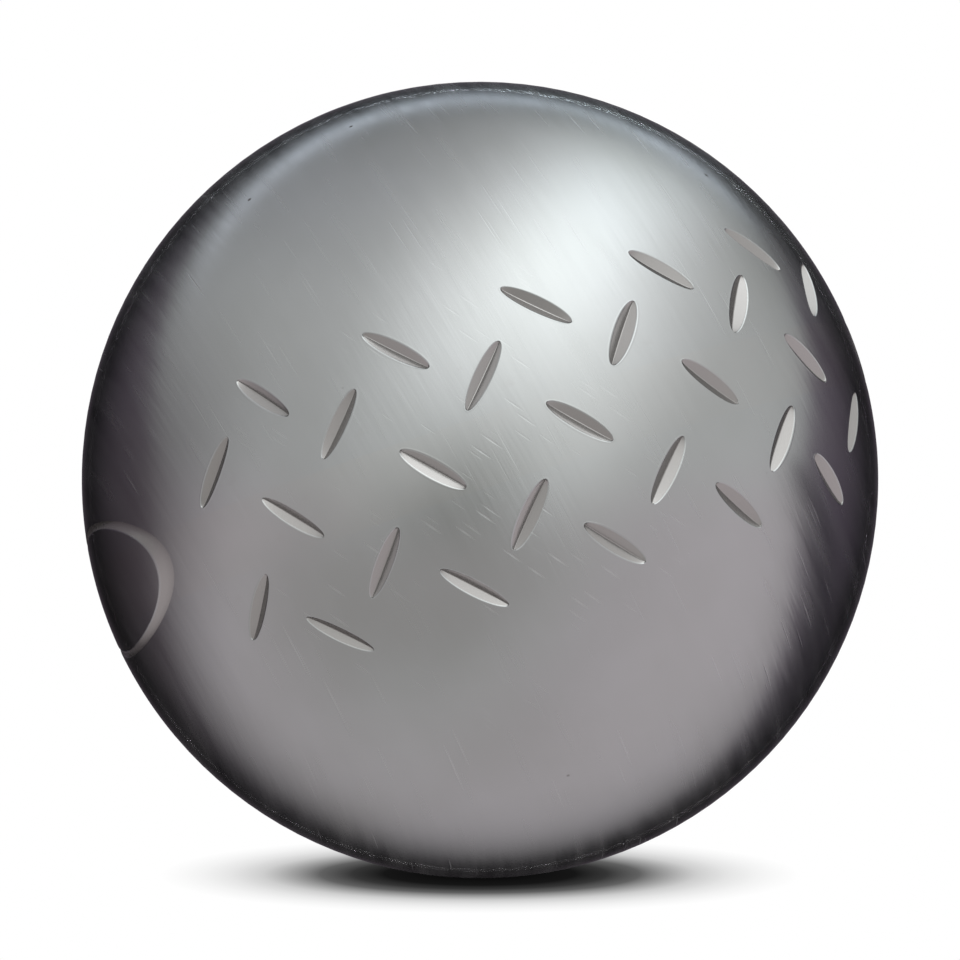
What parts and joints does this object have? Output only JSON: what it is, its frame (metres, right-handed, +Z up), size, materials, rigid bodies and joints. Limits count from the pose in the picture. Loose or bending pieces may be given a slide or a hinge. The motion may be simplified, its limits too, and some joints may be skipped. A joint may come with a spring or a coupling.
{
  "type": "petanque boule",
  "caption": "Hollow steel ball for throwing, welded from half shells, with a belt of short V grooves for grip and two bare oval marks.",
  "frame": {"origin": "centre of the ball", "axes": "+Z up as the ball rests in the picture, which is taken looking along +Y with +X to the right; the belt of grooves and the weld lie square to an axis tilted 18.4 degrees to -X and leaning 8.2 degrees to +Y from +Z"},
  "size_m": [0.073, 0.073, 0.073],
  "materials": {
    "forged_steel": "satin, machined and hand polished, with fine scratches from play",
    "weld_steel": "satin, machined flush with the half shells"
  },
  "bodies": {
    "root": {"upper_half_shell": "forged_steel", "lower_half_shell": "forged_steel", "weld_bead": "weld_steel"}
  },
  "joints": []
}
